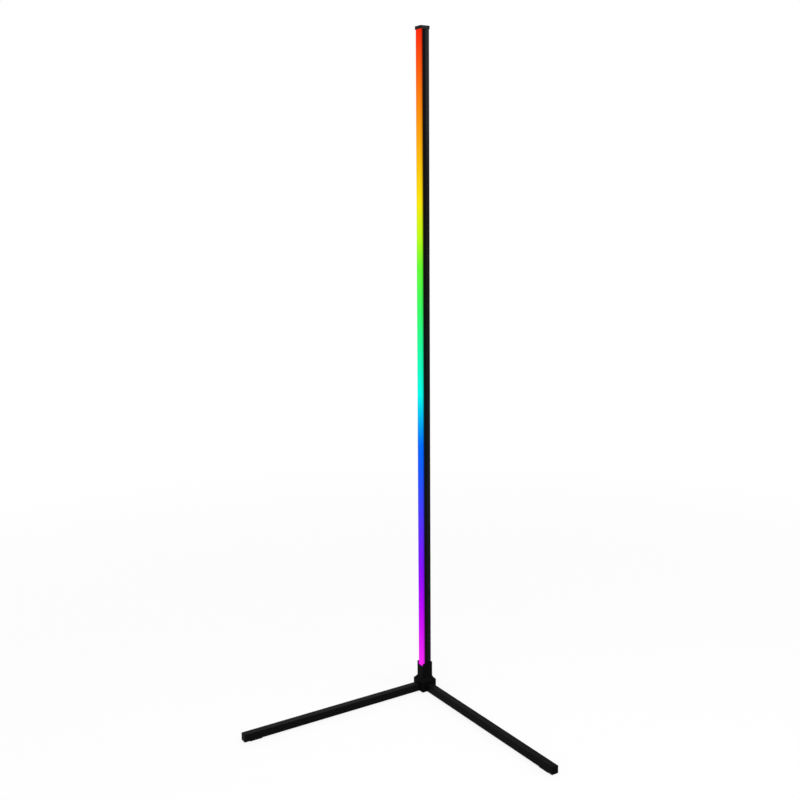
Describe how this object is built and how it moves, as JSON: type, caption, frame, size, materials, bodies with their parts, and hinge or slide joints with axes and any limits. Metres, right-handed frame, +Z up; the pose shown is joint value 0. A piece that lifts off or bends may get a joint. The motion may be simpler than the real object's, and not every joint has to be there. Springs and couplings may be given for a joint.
{
  "type": "corner floor lamp",
  "caption": "Slim upright corner floor lamp: square pole with a full-length lit diffuser, standing in a hub with level legs at a right angle.",
  "frame": {"origin": "on the pole's axis, at the underside of the pad under the hub, level with the floor", "axes": "+Z up along the pole; the lit face looks along -X; one leg runs along -X and the other along -Y"},
  "size_m": [0.463, 0.4618, 1.42],
  "materials": {
    "black_aluminium": "satin black anodised extrusion",
    "black_plastic": "fine-textured black moulding",
    "black_steel": "satin black powder coat on square steel tube",
    "cast_metal": "grey die casting",
    "bright_steel": "plain zinc-plated flat bar",
    "screw_steel": "black-oxide steel",
    "soft_rubber": "matt black rubber and foam",
    "opal_diffuser": "opal white, lit from inside",
    "strip_board": "white solder mask",
    "strip_tape": "thin adhesive tape",
    "light_chip": "clear resin in a white case",
    "white_plastic": "natural nylon",
    "lead_cover": "red insulation"
  },
  "bodies": {
    "base": {"hub_cover": "black_plastic", "hub_base": "cast_metal", "hub_pad": "soft_rubber", "hub_screws": "screw_steel", "cord_grommet": "soft_rubber", "left_leg": "black_steel", "right_leg": "black_steel", "left_end_cap": "black_plastic", "right_end_cap": "black_plastic", "leg_screws": "screw_steel", "leg_pads": "soft_rubber"},
    "pole": {"lower_channel": "black_aluminium", "middle_channel": "black_aluminium", "upper_channel": "black_aluminium", "lower_joiner": "bright_steel", "upper_joiner": "bright_steel", "joiner_screws": "screw_steel", "diffuser": "opal_diffuser", "strip_tape": "strip_tape", "light_strip": "strip_board", "light_chips": "light_chip", "strip_connector": "white_plastic", "strip_leads": "lead_cover"},
    "cap": {"top_cap": "black_plastic"}
  },
  "joints": [
    {"name": "pole_lift", "type": "slide", "parent": "base", "child": "pole", "axis": [0, 0, 1], "range_m": [0, 0.046]},
    {"name": "cap_pull", "type": "slide", "parent": "pole", "child": "cap", "axis": [0, 0, 1], "range_m": [0, 0.012]}
  ]
}
